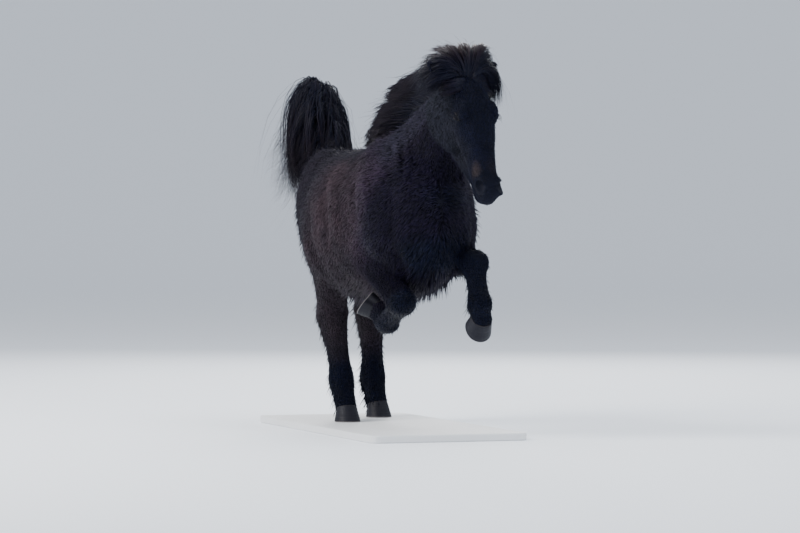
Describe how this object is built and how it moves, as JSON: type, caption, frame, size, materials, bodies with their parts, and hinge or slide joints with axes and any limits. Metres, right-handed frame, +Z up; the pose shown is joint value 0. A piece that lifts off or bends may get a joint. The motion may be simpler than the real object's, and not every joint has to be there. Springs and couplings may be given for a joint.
{
  "type": "icelandic horse model",
  "caption": "Still, life-size model of a dark Icelandic horse in its shaggy winter coat, galloping, with mane, forelock and raised tail blown back, on a plain base.",
  "frame": {"origin": "centre of the underside of the base", "axes": "+Z up, -Y the way the horse runs, +X its left side"},
  "size_m": [0.7, 2.1286, 1.6727],
  "materials": {
    "coat": "shaggy black-brown winter coat with reddish flanks",
    "leg_coat": "short near-black coat",
    "long_hair": "long black hair, bleached reddish at the ends",
    "horn": "dark horn with a pale worn edge",
    "eye": "dark brown, wet",
    "base": "matt off-white board"
  },
  "bodies": {
    "root": {"torso": "coat", "neck": "coat", "head": "coat", "ear_left": "coat", "ear_right": "coat", "eye_left": "eye", "eye_right": "eye", "foreleg_left": "leg_coat", "foreleg_right": "leg_coat", "hindleg_left": "leg_coat", "hindleg_right": "leg_coat", "hoof_fore_left": "horn", "hoof_fore_right": "horn", "hoof_hind_left": "horn", "hoof_hind_right": "horn", "mane": "long_hair", "forelock": "long_hair", "tail": "long_hair", "stand_base": "base"}
  },
  "joints": []
}
